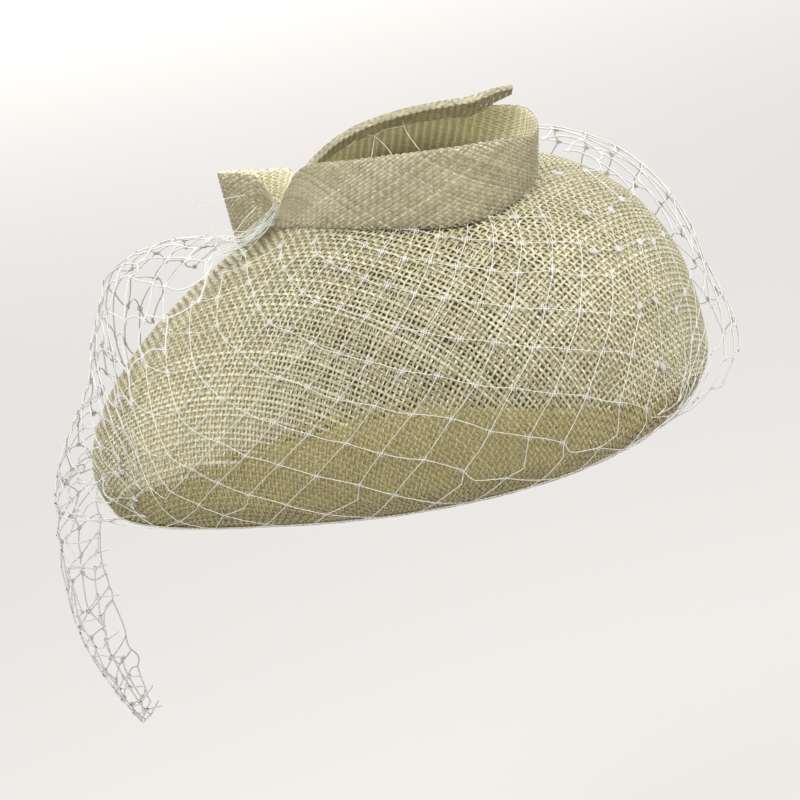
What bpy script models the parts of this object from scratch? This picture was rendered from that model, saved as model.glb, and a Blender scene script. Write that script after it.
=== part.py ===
"""A sinamay half-hat with a looped bow, a head comb and a piece of birdcage veiling.

The opening of the hat lies in the plane z = 0, its centre is the origin, and the near side is -Y.
"""
import math

import bmesh
import bpy
import numpy as np
from mathutils import Vector
from mathutils.bvhtree import BVHTree

# Crown: an egg-shaped dome whose edge turns under.
HALF_LENGTH = 0.1055
HALF_DEPTH = 0.085
EGG = 0.25              # the right end is this much deeper than the middle, the left end shallower
DOME_HEIGHT = 0.078
SHOULDER = 0.0105       # height of the widest level above the turned edge
TURN_UNDER = 0.012
TURN_LESS = (0.0090, math.radians(200), math.radians(45))   # turns in less here: by how much, middle, reach
PEAK_SHIFT = 0.0105
SLOPE = (1.40, 2.05)    # power of the radius at the left end and at the right end
FULLNESS = (1.75, 2.70)
EDGE_HEIGHT = 0.0009    # the turned edge stands this far above the opening, on its binding
AROUND = 40             # divisions around the hat

# Layers of cloth, as depths below the crown's outer face.
CLOTH = 0.0008
GAP = 0.0003
HEM_DEPTH = (0.0011, 0.0017)
LINING_DEPTH = (0.0020, 0.0026)
BIND_CLOTH = 0.0006

# Edge wire and its joiner.
WIRE_RADIUS = 0.0008
WIRE_INSET = 0.00125
WIRE_HEIGHT = 0.0022
JOINER_RADIUS = 0.00092
JOINER_LENGTH = 0.014

# Head ribbon.
RIBBON_INSET = 0.0040
RIBBON_HEIGHT = 0.017
RIBBON_BOTTOM = 0.0052
RIBBON_CLOTH = 0.0007

# Comb on the far side, teeth towards the middle of the opening.
COMB_LENGTH = 0.072
COMB_SPINE = (0.0034, 0.0026)
COMB_AXIS = (0.014, 0.0588, 0.0085)
TOOTH_LENGTH = 0.040
TOOTH_SAG = 0.0045
TOOTH_WIDTH = 0.0016
TEETH = 16
COMB_LOOPS = (-6, -2, 2, 6)    # in tooth pitches from the middle
STITCH_RADIUS = 0.00035
STITCH_RISE = 0.0034
STITCH_LOOSE = 0.0014

# Bow: bottom and top line of each loop in millimetres. The bottom line is raised to clear the crown.
ABOVE_CROWN = 0.0009
BIG_BOTTOM = [
    (-26, -3.2, 70), (-17, -14, 70), (-5, -27, 70), (14, -40, 70), (33, -45.5, 70),
    (48, -39, 70), (58, -26, 70), (61, -11, 70), (55, 4, 70), (40, 13, 70),
    (20, 17, 70), (1, 16, 70), (-13, 12, 70), (-21, 8, 70),
]
BIG_TOP = [
    (-20, -3, 91), (-12, -11, 100.5), (3, -27, 103.3), (20, -38, 104.2), (36, -44, 104.0),
    (50, -40, 101.8), (62, -27, 97.5), (64.5, -13, 98.5), (61, -2, 100.8), (45, -2, 104.3),
    (24, 0, 105.8), (6, 3, 103.3), (-8, 5, 96.5), (-17, 5, 88.5),
]
SMALL_BOTTOM = [
    (-28, -2.2, 70), (-33, 0, 70), (-39, 7.5, 70), (-38, 18, 70), (-31, 21, 70), (-24, 16, 78),
    (-25, 10.5, 80.5),
]
SMALL_TOP = [
    (-24, -1.5, 90.5), (-28, -0.5, 99), (-39.5, 9, 100), (-36.5, 20, 97), (-27, 20.5, 94.7),
    (-16.5, 15, 93.8), (-19, 10, 88),
]

# Tail of the bow, folded over the back of the big loop.
TAIL_HALF = 0.0015
TAIL_CLOTH = 0.00062
TAIL_LIFT = (0.0026, 0.0030, 0.0046)
TAIL_TIP = [(50.5, -5.6, 108.3), (55.5, -6.0, 108.9), (60.0, -6.2, 108.7)]

# Veil.
NET = 0.0007
NET_CLEAR = 0.0013
GATHER = (-26.0, 3.2, 82.3)
GATHER_RADIUS = 0.0022
GATHER_PITCH = 0.0010
GATHER_THREAD = 0.00025
VEIL_HINGE = (-0.1195, 0.0, 0.0035)
LEFT_LOBE = [
    (47, 82), (60, 84), (74, 82), (84, 76.5), (89.5, 66), (95, 55), (99, 43), (107, 31),
    (115, 19), (120.5, 7),
]
RIGHT_LOBE = [
    (67, 83), (75, 84), (84, 80), (94, 73), (103, 63), (109.5, 49), (112, 35), (117, 19),
    (119.5, 6), (118, -4),
]
LOBES = ((LEFT_LOBE, math.pi, 0.75), (RIGHT_LOBE, 0.30, 0.95))   # outline in mm, middle angle, reach
HUG_FALL = (0.42, 1.80)
FRONT_ANGLES = (212.5, 318)
LEFT_ANGLES = (146, 212)
RIGHT_ANGLES = (318.5, 420)
DROP_MIDDLE = [(-121.0, 2, 3), (-124.5, 0, -16), (-124.5, -3, -42), (-118.5, -5, -64), (-112.5, -6, -79)]
DROP_HALF = 0.034
DROP_INWARD = 0.017
DROP_CROWN = 0.004
NECK = [(-26, 3.2, 81.0), (-26, 3.2, 86.5), (-27.5, 3.0, 89.5)]
NECK_RADII = (0.0019, 0.0014, 0.0014, 0.0014, 0.0018, 0.0024)

STRAW = (0.80, 0.72, 0.50, 1.0)
NET_WHITE = (0.90, 0.90, 0.88, 1.0)


def millimetres(points):
    return np.array(points, float) / 1000


def crown(theta, fall, depth=0.0):
    """Crown surface: fall runs 0 at the peak, 1 at the widest level, 2 at the turned edge."""
    theta, fall = np.broadcast_arrays(np.asarray(theta, float), np.asarray(fall, float))
    if np.ndim(depth) or depth:
        step = 1e-3
        low = np.maximum(fall - step, 1e-4)
        down = crown(theta, low + 2 * step) - crown(theta, low)
        round_ = crown(theta + step, np.maximum(fall, 0.02)) - crown(theta - step, np.maximum(fall, 0.02))
        normal = np.cross(down, round_)
        normal /= np.linalg.norm(normal, axis=-1, keepdims=True)
        normal[fall < 0.01] = (0, 0, 1)
        return crown(theta, fall) - normal * np.asarray(depth)[..., None]
    cosine, sine = np.cos(theta), np.sin(theta)
    left = 0.5 - 0.5 * cosine
    slope = SLOPE[1] + (SLOPE[0] - SLOPE[1]) * left
    fullness = FULLNESS[1] + (FULLNESS[0] - FULLNESS[1]) * left
    radius = np.sin(np.clip(fall, 0, 1) * math.pi / 2)
    turn = np.clip(fall - 1, 0, 1) * math.pi / 2
    away = np.abs((theta - TURN_LESS[1] + math.pi) % (2 * math.pi) - math.pi) / TURN_LESS[2]
    inset = (TURN_UNDER - TURN_LESS[0] * np.clip(1 - away**2, 0, 1) ** 2) * (1 - np.cos(turn))
    x = PEAK_SHIFT * (1 - radius**1.5) + HALF_LENGTH * radius * cosine
    y = HALF_DEPTH * radius * sine * (1 + EGG * cosine)
    dome = DOME_HEIGHT * (1 - np.minimum(radius**slope, 1)) ** (1 / fullness)
    z = EDGE_HEIGHT + SHOULDER * (1 - np.sin(turn)) + dome
    x = x * (1 - inset / HALF_LENGTH)
    y = y * (1 - inset / HALF_DEPTH)
    return np.stack([x, y, z], axis=-1)


def edge_ring(theta, inset, height):
    """A ring parallel to the turned edge, inset further inwards, at a height above the opening."""
    cosine, sine = np.cos(theta), np.sin(theta)
    x = (HALF_LENGTH - TURN_UNDER - inset) * cosine
    y = (HALF_DEPTH - TURN_UNDER - inset) * sine * (1 + EGG * cosine)
    return np.stack([x, y, np.full_like(x, height)], axis=-1)


def smooth_curve(points, count):
    """Catmull-Rom curve through the points, with count samples spread evenly by point number."""
    points = np.asarray(points, float)
    padded = np.vstack([2 * points[0] - points[1], points, 2 * points[-1] - points[-2]])
    where = np.linspace(0, len(points) - 1, count)
    index = np.minimum(where.astype(int), len(points) - 2)
    t = (where - index)[:, None]
    p0, p1, p2, p3 = (padded[index + k] for k in range(4))
    return 0.5 * (
        2 * p1 + (p2 - p0) * t + (2 * p0 - 5 * p1 + 4 * p2 - p3) * t**2 + (3 * p1 - p0 - 3 * p2 + p3) * t**3
    )


def material(name, colour, roughness, metallic=0.0):
    made = bpy.data.materials.new(name)
    made.use_nodes = True
    shader = made.node_tree.nodes["Principled BSDF"]
    shader.inputs["Base Color"].default_value = colour
    shader.inputs["Roughness"].default_value = roughness
    shader.inputs["Metallic"].default_value = metallic
    return made


def finish(name, mesh_builder, made, parent=None):
    """Turns a bmesh into a named object whose mesh is closed and faces outwards."""
    bmesh.ops.remove_doubles(mesh_builder, verts=mesh_builder.verts, dist=1e-6)
    bmesh.ops.dissolve_degenerate(mesh_builder, edges=mesh_builder.edges, dist=1e-7)
    bmesh.ops.recalc_face_normals(mesh_builder, faces=mesh_builder.faces)
    mesh = bpy.data.meshes.new(name)
    if parent is not None:
        mesh_builder.transform(parent.matrix_world.inverted())
    mesh_builder.to_mesh(mesh)
    mesh_builder.free()
    mesh.materials.append(made)
    mesh.shade_smooth()
    mesh.set_sharp_from_angle(angle=math.radians(40))
    obj = bpy.data.objects.new(name, mesh)
    bpy.context.scene.collection.objects.link(obj)
    if parent is not None:
        obj.parent = parent
    return obj


def add_grid(mesh_builder, points, around):
    """Adds a grid of points as quads and returns its vertices by row and column."""
    rows, columns = points.shape[:2]
    verts = [[mesh_builder.verts.new(points[r, c]) for c in range(columns)] for r in range(rows)]
    for r in range(rows - 1):
        for c in range(columns if around else columns - 1):
            d = (c + 1) % columns
            mesh_builder.faces.new((verts[r][c], verts[r][d], verts[r + 1][d], verts[r + 1][c]))
    return verts


def shell(name, outer, inner, made, around=False, pole=False, parent=None):
    """A closed sheet between two grids of points, joined along every free edge."""
    builder = bmesh.new()
    top = add_grid(builder, outer, around)
    bottom = add_grid(builder, inner, around)
    rows, columns = outer.shape[:2]
    ends = [rows - 1] if pole else [0, rows - 1]
    for r in ends:
        for c in range(columns if around else columns - 1):
            d = (c + 1) % columns
            builder.faces.new((top[r][c], bottom[r][c], bottom[r][d], top[r][d]))
    if not around:
        for c in (0, columns - 1):
            for r in range(rows - 1):
                builder.faces.new((top[r][c], top[r + 1][c], bottom[r + 1][c], bottom[r][c]))
    return finish(name, builder, made, parent)


def sweep(builder, sections, closed):
    """Skins a row of equal sections, each a loop of points; open rows get flat ends."""
    count, sides = sections.shape[:2]
    verts = [[builder.verts.new(p) for p in section] for section in sections]
    for a in range(count if closed else count - 1):
        b = (a + 1) % count
        for k in range(sides):
            m = (k + 1) % sides
            builder.faces.new((verts[a][k], verts[a][m], verts[b][m], verts[b][k]))
    if not closed:
        builder.faces.new(verts[0])
        builder.faces.new(verts[-1])


def tube_sections(path, radius, sides, closed):
    """Round sections across a path of points; radius may be one value per point."""
    path = np.asarray(path, float)
    radius = np.broadcast_to(radius, (len(path),))
    along = np.roll(path, -1, 0) - np.roll(path, 1, 0) if closed else np.gradient(path, axis=0)
    along /= np.linalg.norm(along, axis=1, keepdims=True)
    side = np.array(Vector(along[0]).orthogonal())
    turn = np.linspace(0, 2 * math.pi, sides, endpoint=False)[:, None]
    sections = []
    for point, direction, size in zip(path, along, radius):
        # A ring is framed on its centre, so that its last section meets its first.
        side = path.mean(axis=0) - point if closed else side
        side = side - direction * side.dot(direction)
        side /= np.linalg.norm(side)
        sections.append(point + size * (np.cos(turn) * side + np.sin(turn) * np.cross(direction, side)))
    return np.array(sections)


def tubes(name, paths, radius, sides, made, closed=False, parent=None):
    builder = bmesh.new()
    for path in paths:
        sweep(builder, tube_sections(path, radius, sides, closed), closed)
    return finish(name, builder, made, parent)


def clear_scene():
    for obj in list(bpy.data.objects):
        bpy.data.objects.remove(obj, do_unlink=True)


def angles_around():
    return np.linspace(0, 2 * math.pi, AROUND, endpoint=False)


def crown_layer(name, depths, falls, made, pole):
    theta, fall = np.meshgrid(angles_around(), falls)
    return shell(
        name, crown(theta, fall, depths[0]), crown(theta, fall, depths[1]), made, around=True, pole=pole
    )


def make_crown(made):
    dome = [0.0, 0.14, 0.3, 0.45, 0.6, 0.74, 0.86, 0.95, 1.0]
    turn = [1.25, 1.5, 1.75, 2.0]
    crown_layer("crown_outer", (0.0, CLOTH), dome + turn, made, True)
    crown_layer("crown_lining", LINING_DEPTH, dome + turn, made, True)
    crown_layer("hem_band", HEM_DEPTH, dome[-3:] + turn, made, False)


def make_binding(made):
    """Bias strip of U section that wraps the cloth edges and the wire, flat underneath."""
    theta = angles_around()
    wall = 2 * BIND_CLOTH + WIRE_INSET + WIRE_RADIUS + GAP
    inner_wall = wall - BIND_CLOTH
    roof = EDGE_HEIGHT + LINING_DEPTH[1] + GAP
    outline = [
        crown(theta, 1.80, -(GAP + BIND_CLOTH)),
        crown(theta, 1.90, -(GAP + BIND_CLOTH)),
        edge_ring(theta, 0.0, 0.0),
        edge_ring(theta, wall, 0.0),
        edge_ring(theta, wall, roof + BIND_CLOTH),
        edge_ring(theta, 0.0, roof + BIND_CLOTH),
        crown(theta, 1.86, LINING_DEPTH[1] + GAP + BIND_CLOTH),
        crown(theta, 1.86, LINING_DEPTH[1] + GAP),
        edge_ring(theta, 0.0, roof),
        edge_ring(theta, inner_wall, roof),
        edge_ring(theta, inner_wall, BIND_CLOTH),
        edge_ring(theta, 0.0, BIND_CLOTH),
        crown(theta, 1.90, -GAP),
        crown(theta, 1.80, -GAP),
    ]
    builder = bmesh.new()
    sweep(builder, np.stack(outline, axis=1), True)
    finish("rim_binding", builder, made)


def make_wire(steel):
    """Edge wire, a ring cut at the far side where a short sleeve joins its ends."""
    half_gap = JOINER_LENGTH / 2 / HALF_DEPTH * 0.8
    theta = np.linspace(math.pi / 2 + half_gap, 5 * math.pi / 2 - half_gap, AROUND + 1)
    path = edge_ring(theta, WIRE_INSET, WIRE_HEIGHT)
    tubes("rim_wire", [path], WIRE_RADIUS, 6, steel)
    short = half_gap - GAP / HALF_DEPTH
    joint = np.linspace(math.pi / 2 - short * 0.98, math.pi / 2 + short * 0.98, 5)
    tubes("wire_joiner", [edge_ring(joint, WIRE_INSET, WIRE_HEIGHT)], JOINER_RADIUS, 8, steel)


def make_ribbon(made):
    theta = angles_around()
    heights = [RIBBON_BOTTOM, RIBBON_BOTTOM + RIBBON_HEIGHT]
    outer = np.stack([edge_ring(theta, RIBBON_INSET, h) for h in heights])
    inner = np.stack([edge_ring(theta, RIBBON_INSET + RIBBON_CLOTH, h) for h in heights])
    shell("head_ribbon", outer, inner, made, around=True)


def comb_pivot():
    pivot = bpy.data.objects.new("comb_pivot", None)
    pivot.location = COMB_AXIS
    bpy.context.scene.collection.objects.link(pivot)
    bpy.context.view_layer.update()
    return pivot


def make_comb(made, thread):
    """One moulded comb: a straight spine whose inner face grows into the teeth."""
    pivot = comb_pivot()
    x0, y0, z0 = COMB_AXIS
    width, height = COMB_SPINE
    pitch = COMB_LENGTH / TEETH
    cuts = [x0 - COMB_LENGTH / 2]
    for k in range(TEETH):
        middle = x0 + pitch * (k + 0.5 - TEETH / 2)
        cuts += [middle - TOOTH_WIDTH / 2, middle + TOOTH_WIDTH / 2]
    cuts.append(x0 + COMB_LENGTH / 2)
    section = [(-1, -1), (-1, 1), (1, 1), (1, -1)]
    builder = bmesh.new()
    spine = [
        [builder.verts.new((x, y0 + a * width / 2, z0 + b * height / 2)) for a, b in section] for x in cuts
    ]
    builder.faces.new(spine[0])
    builder.faces.new(spine[-1])
    for k in range(len(cuts) - 1):
        near, far = spine[k], spine[k + 1]
        for side in range(1, 4):
            after = (side + 1) % 4
            builder.faces.new((near[side], near[after], far[after], far[side]))
        root = [near[0], far[0], far[1], near[1]]
        if k % 2:
            add_tooth(builder, root, (cuts[k] + cuts[k + 1]) / 2, y0 - width / 2, z0)
        else:
            builder.faces.new(root)
    finish("comb", builder, made, pivot)
    for number, steps in enumerate(COMB_LOOPS, 1):
        make_comb_stitch(number, x0 + steps * pitch, y0 - width / 2, z0, thread)


def add_tooth(builder, root, x, y, z):
    """Skins one tooth from the spine; it bends down a little like the head under it and thins to its tip."""
    last = root
    for t in (0.08, 0.35, 0.7, 1.0):
        half = TOOTH_WIDTH / 2 * (1 - 0.55 * t**2)
        level = z - TOOTH_SAG * math.sin(t * math.pi / 2) ** 2
        corners = [(-half, -half), (half, -half), (half, half), (-half, half)]
        ring = [builder.verts.new((x + a, y - TOOTH_LENGTH * t, level + b)) for a, b in corners]
        for side in range(4):
            after = (side + 1) % 4
            builder.faces.new((last[side], last[after], ring[after], ring[side]))
        last = ring
    builder.faces.new(last)


def make_comb_stitch(number, x, spine_face, z, thread):
    """A loop of thread round the spine between two teeth, reaching out to the head ribbon."""
    theta = np.linspace(0, math.pi, 400)
    ring = edge_ring(theta, RIBBON_INSET + RIBBON_CLOTH, z)
    ribbon_face = ring[np.argmin(abs(ring[:, 0] - x)), 1]
    low = spine_face - STITCH_LOOSE
    high = ribbon_face - GAP - STITCH_RADIUS
    turn = np.linspace(0, 2 * math.pi, 12, endpoint=False)
    y = (low + high) / 2 + (high - low) / 2 * np.cos(turn)
    path = np.stack([np.full_like(turn, x), y, z + STITCH_RISE * np.sin(turn)], axis=1)
    tubes(f"comb_stitch_{number}", [path], STITCH_RADIUS, 5, thread, closed=True)


def strip(name, bottom, top, samples, made, above):
    """A band of cloth standing on its edge between a bottom line and a top line, clear of the crown."""
    low = smooth_curve(millimetres(bottom), samples)
    high = smooth_curve(millimetres(top), samples)
    for point in low:
        hit = above.ray_cast(Vector((point[0], point[1], 0.3)), Vector((0, 0, -1)))[0]
        if hit is not None:
            point[2] = max(point[2], hit.z + ABOVE_CROWN)
    rows = np.stack([low, low * 0.5 + high * 0.5, high])
    middle = rows[1]
    along = np.gradient(middle, axis=0)
    across = high - low
    normal = np.cross(along, across)
    normal /= np.linalg.norm(normal, axis=1, keepdims=True)
    half = normal * CLOTH / 2
    shell(name, rows + half, rows - half, made)
    return low, high


def make_bow(made, thread, above):
    low, high = strip("big_loop", BIG_BOTTOM, BIG_TOP, 40, made, above)
    strip("small_loop", SMALL_BOTTOM, SMALL_TOP, 20, made, above)
    make_tail(made, low, high)
    make_gather_thread(thread)


def make_gather_thread(thread):
    """Thread wound three times round the neck of the veil."""
    turn = np.linspace(0, 3 * 2 * math.pi, 31)
    x, y, z = millimetres(GATHER)
    height = z + GATHER_PITCH * turn / (2 * math.pi)
    path = np.stack([x + GATHER_RADIUS * np.cos(turn), y + GATHER_RADIUS * np.sin(turn), height], axis=1)
    tubes("gather_thread", [path], GATHER_THREAD, 5, thread)


def make_tail(made, low, high):
    """A strip folded over the back of the big loop, open below, whose tip stands free at the right."""
    under = slice(37, 26, -1)
    lean = (low - high)[under]
    lean /= np.linalg.norm(lean, axis=1, keepdims=True)
    lift = np.interp(np.linspace(0, 1, len(lean)), [0, 0.55, 1], TAIL_LIFT)
    ridge = np.vstack([high[under] - lean * lift[:, None], millimetres(TAIL_TIP)])
    lean = np.vstack([lean, np.repeat(lean[-1:], len(TAIL_TIP), axis=0)])
    straddle = np.linspace(0.0012, 0.0028, len(lift))
    reach = np.concatenate([lift + straddle, [0.0066, 0.0050, 0.0030]])
    width = np.concatenate([np.full(len(lift), TAIL_HALF), TAIL_HALF * np.array([0.9, 0.75, 0.6])])
    side = np.cross(np.gradient(ridge, axis=0), lean)
    side /= np.linalg.norm(side, axis=1, keepdims=True)
    outline = []
    for across, share in ((0, 0), (1, 0.3), (1, 1)):
        outline.append(ridge + side * (across * width)[:, None] + lean * (share * reach)[:, None])
    wall = TAIL_CLOTH
    for across, share in ((1, 1), (1, 0.3), (0, 0), (-1, 0.3), (-1, 1)):
        inner = across * (width - wall)
        depth = share * reach + (wall * 1.3 if share < 1 else 0)
        outline.append(ridge + side * inner[:, None] + lean * depth[:, None])
    for across, share in ((-1, 1), (-1, 0.3)):
        outline.append(ridge + side * (across * width)[:, None] + lean * (share * reach)[:, None])
    builder = bmesh.new()
    sweep(builder, np.stack(outline, axis=1), False)
    finish("loop_tail", builder, made)


def veil_surface(theta, share, lift):
    """Net surface: share runs 0 near the bow to 1 at the edge. It lies on the crown but for the lobes."""
    fall = HUG_FALL[0] + (HUG_FALL[1] - HUG_FALL[0]) * share
    hug = crown(theta, fall, -(NET_CLEAR + lift))
    result = hug
    for lobe, centre, reach in LOBES:
        profile = smooth_curve(millimetres(lobe), 60)
        where = np.clip(share, 0, 1) * (len(profile) - 1)
        radius = np.interp(where, np.arange(len(profile)), profile[:, 0]) + lift
        height = np.interp(where, np.arange(len(profile)), profile[:, 1])
        cosine, sine = np.cos(theta), np.sin(theta)
        depth = HALF_DEPTH / HALF_LENGTH * (1 + EGG * cosine)
        puff = np.stack([radius * cosine, radius * sine * depth, height], axis=-1)
        away = np.abs((theta - centre + math.pi) % (2 * math.pi) - math.pi)
        weight = np.clip(1 - (away / reach) ** 2, 0, 1) ** 1.5
        result = result * (1 - weight[..., None]) + puff * weight[..., None]
    return result


def crown_skin():
    """Search tree of the crown's outer face alone, with faces turned outwards."""
    around, rows = 2 * AROUND, 33
    theta, fall = np.meshgrid(
        np.linspace(0, 2 * math.pi, around, endpoint=False), np.linspace(0.001, 2, rows)
    )
    points = crown(theta, fall).reshape(-1, 3)
    faces = []
    for r in range(rows - 1):
        for c in range(around):
            d = (c + 1) % around
            faces.append((r * around + c, (r + 1) * around + c, (r + 1) * around + d, r * around + d))
    return BVHTree.FromPolygons([tuple(p) for p in points], faces)


def lift_off(points, crown_tree, clearance):
    """Moves each point that is nearer to the crown than the clearance straight out to it."""
    lifted = points.copy()
    for index in np.ndindex(points.shape[:-1]):
        nearest, normal = crown_tree.find_nearest(Vector(points[index]))[:2]
        if (Vector(points[index]) - nearest).dot(normal) < clearance:
            lifted[index] = nearest + normal * clearance
    return lifted


def veil_part(name, start, end, columns, shares, made, crown_tree):
    theta, share = np.meshgrid(np.radians(np.linspace(start, end, columns)), shares)
    inner = lift_off(veil_surface(theta, share, 0.0), crown_tree, NET_CLEAR)
    outer = lift_off(veil_surface(theta, share, NET), crown_tree, NET_CLEAR + NET)
    shell(name, outer, inner, made)


def drop_surface(across, down, lift):
    """Face veil below the left lobe: across runs -1 to 1 from the near edge, down runs 0 to 1."""
    middle = smooth_curve(millimetres(DROP_MIDDLE), 60)
    where = down * (len(middle) - 1)
    x, y, z = (np.interp(where, np.arange(len(middle)), middle[:, k]) for k in range(3))
    half = DROP_HALF * (1 - 0.86 * down**1.6)
    inward = DROP_INWARD * across**2 * (1 - 0.75 * down)
    return np.stack([x + inward - lift, y + across * half, z + DROP_CROWN * across**2], axis=-1)


def make_veil(made, crown_tree):
    veil_part("veil_front", *FRONT_ANGLES, 20, np.linspace(0.03, 1, 15), made, crown_tree)
    veil_part("veil_left_lobe", *LEFT_ANGLES, 12, np.linspace(0, 1, 13), made, crown_tree)
    veil_part("veil_right_lobe", *RIGHT_ANGLES, 18, np.linspace(0, 1, 14), made, crown_tree)
    hinge = bpy.data.objects.new("veil_hinge", None)
    hinge.location = VEIL_HINGE
    bpy.context.scene.collection.objects.link(hinge)
    bpy.context.view_layer.update()
    across, down = np.meshgrid(np.linspace(-1, 1, 9), np.linspace(0, 1, 10))
    shell("veil_drop", drop_surface(across, down, NET), drop_surface(across, down, 0.0), made, parent=hinge)
    path = smooth_curve(millimetres(NECK), len(NECK_RADII))
    builder = bmesh.new()
    sweep(builder, tube_sections(path, np.array(NECK_RADII), 8, False), False)
    finish("veil_gather", builder, made)


def main():
    clear_scene()
    straw = material("sinamay_straw", STRAW, 0.55)
    ribbon = material("petersham_ribbon", (0.85, 0.80, 0.66, 1.0), 0.8)
    net = material("veil_net", NET_WHITE, 0.45)
    steel = material("wire_steel", (0.75, 0.74, 0.70, 1.0), 0.35, 1.0)
    plastic = material("comb_plastic", (0.85, 0.80, 0.68, 1.0), 0.25)
    thread = material("sewing_thread", (0.90, 0.86, 0.72, 1.0), 0.6)
    make_crown(straw)
    make_binding(straw)
    make_wire(steel)
    make_ribbon(ribbon)
    make_comb(plastic, thread)
    crown_tree = crown_skin()
    make_bow(straw, thread, crown_tree)
    make_veil(net, crown_tree)


main()
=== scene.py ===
"""Looks of the sinamay half-hat: straw woven thread by thread, a knotted veil, a bow, a ribbon and a comb."""
import math

import bpy
import numpy as np
from mathutils import Matrix, Vector
from mathutils.bvhtree import BVHTree


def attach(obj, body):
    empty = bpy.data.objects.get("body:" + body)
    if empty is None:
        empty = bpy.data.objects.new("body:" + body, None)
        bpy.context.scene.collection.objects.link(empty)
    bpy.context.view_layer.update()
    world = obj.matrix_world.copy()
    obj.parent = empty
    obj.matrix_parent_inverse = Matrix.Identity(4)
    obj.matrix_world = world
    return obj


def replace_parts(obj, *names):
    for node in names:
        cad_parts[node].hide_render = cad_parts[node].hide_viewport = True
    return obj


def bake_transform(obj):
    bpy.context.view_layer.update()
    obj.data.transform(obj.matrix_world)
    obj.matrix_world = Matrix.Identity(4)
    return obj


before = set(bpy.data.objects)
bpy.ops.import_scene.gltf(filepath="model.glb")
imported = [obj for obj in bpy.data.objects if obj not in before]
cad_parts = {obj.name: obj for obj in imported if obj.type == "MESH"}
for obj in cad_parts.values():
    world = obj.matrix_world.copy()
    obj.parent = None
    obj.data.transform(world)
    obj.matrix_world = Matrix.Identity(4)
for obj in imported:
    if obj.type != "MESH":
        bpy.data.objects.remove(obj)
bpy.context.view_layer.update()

# Crown surface, as in the CAD model.
HALF_LENGTH = 0.1055
HALF_DEPTH = 0.085
EGG = 0.25
DOME_HEIGHT = 0.078
SHOULDER = 0.0105
TURN_UNDER = 0.012
TURN_LESS = (0.0090, math.radians(200), math.radians(45))   # turns in less here: by how much, middle, reach
PEAK_SHIFT = 0.0105
SLOPE = (1.40, 2.05)
FULLNESS = (1.75, 2.70)
EDGE_HEIGHT = 0.0009

# Woven cloth: pitch from straw to straw, straw width, and how far a straw rises over its neighbours.
OUTER = dict(pitch=0.0019, width=0.00077, rise=0.00024)
SECOND = dict(pitch=0.0019, width=0.00058, rise=0.00010)
LINING = dict(pitch=0.0021, width=0.00110, rise=0.00012)
HEM = dict(pitch=0.00098, width=0.00088, rise=0.00010)
BOW = dict(pitch=0.00150, width=0.00074, rise=0.00012)
TAIL = dict(pitch=0.00120, width=0.00104, rise=0.00012)
BINDING = dict(pitch=0.00100, width=0.00086, rise=0.00009)
OUTER_DEPTH = 0.00040
HEM_DEPTH = 0.00066
SECOND_DEPTH = 0.00092
PLY_DEPTH = 0.00120
LINING_DEPTH = 0.0021
BOW_LEAN = math.radians(25)         # the bow's straws lean this far off its length
CLOTH_HEADING = math.radians(232)   # the way the straws run across the peak
LINING_TURN = math.radians(9)       # the lining is cut this far off the outer cloth
HEM_TURN = math.radians(38)         # the hem band is cut this far off the outer cloth
# Below the hem's level the straws of every crown layer take the hem's colours, darker with painted shade on
# the lower front.
HEM_LEVEL = (0.0080, 0.0290, math.radians(266))   # height of the doubled hem: least, how much more, and where
HEM_FRAY = 0.0022                   # the hem, and the painted shade of the straws over it, reach a slightly different level at each crossing
HEM_SCATTER = (78.2, 37.7)          # makes that level look random from one crossing to the next
EDGE = 2.0                          # fall at the turned edge
TRIM = 0.0006                       # cloth this far past a cut edge is drawn in to it
CROWN_PLY = 0.0002          # thicknesses
BOW_PLY = 0.0003
BINDING_PLY = 0.00025
PETERSHAM = 0.00042
WIDTH_SCATTER = 0.17        # how much straws differ in width, and within what limits
WIDTH_LIMITS = (0.6, 1.35)
LINE_SCATTER = 0.06         # how far straws stray, in pitches
STRAW_ARCH = 0.09           # how far a straw's face arches, in widths
MOST_FACES = 98000          # of one piece

# Bow.
CLOTH = 0.0008
ABOVE_CROWN = 0.0009
BIG_BOTTOM = [
    (-26, -3.2, 70), (-17, -14, 70), (-5, -27, 70), (14, -40, 70), (33, -45.5, 70),
    (48, -39, 70), (58, -26, 70), (61, -11, 70), (55, 4, 70), (40, 13, 70),
    (20, 17, 70), (1, 16, 70), (-13, 12, 70), (-21, 8, 70),
]
BIG_TOP = [
    (-20, -3, 91), (-12, -11, 100.5), (3, -27, 103.3), (20, -38, 104.2), (36, -44, 104.0),
    (50, -40, 101.8), (62, -27, 97.5), (64.5, -13, 98.5), (61, -2, 100.8), (45, -2, 104.3),
    (24, 0, 105.8), (6, 3, 103.3), (-8, 5, 96.5), (-17, 5, 88.5),
]
SMALL_BOTTOM = [
    (-28, -2.2, 70), (-33, 0, 70), (-39, 7.5, 70), (-38, 18, 70), (-31, 21, 70), (-24, 16, 78),
    (-25, 10.5, 80.5),
]
SMALL_TOP = [
    (-24, -1.5, 90.5), (-28, -0.5, 99), (-39.5, 9, 100), (-36.5, 20, 97), (-27, 20.5, 94.7),
    (-16.5, 15, 93.8), (-19, 10, 88),
]
TAIL_SPAN = slice(37, 26, -1)       # samples of the big loop's line that the tail lies on
TAIL_GIRTH = 0.0085
TAIL_HALF = 0.0015
TAIL_REACH = (0.0012, 0.0028)
TIP_REACH = (0.0066, 0.0050, 0.0030)
TIP_HALF = (0.9, 0.75, 0.6)
TAIL_LIFT = (0.0026, 0.0030, 0.0046)
TAIL_TIP = [(50.5, -5.6, 108.3), (55.5, -6.0, 108.9), (60.0, -6.2, 108.7)]

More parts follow.
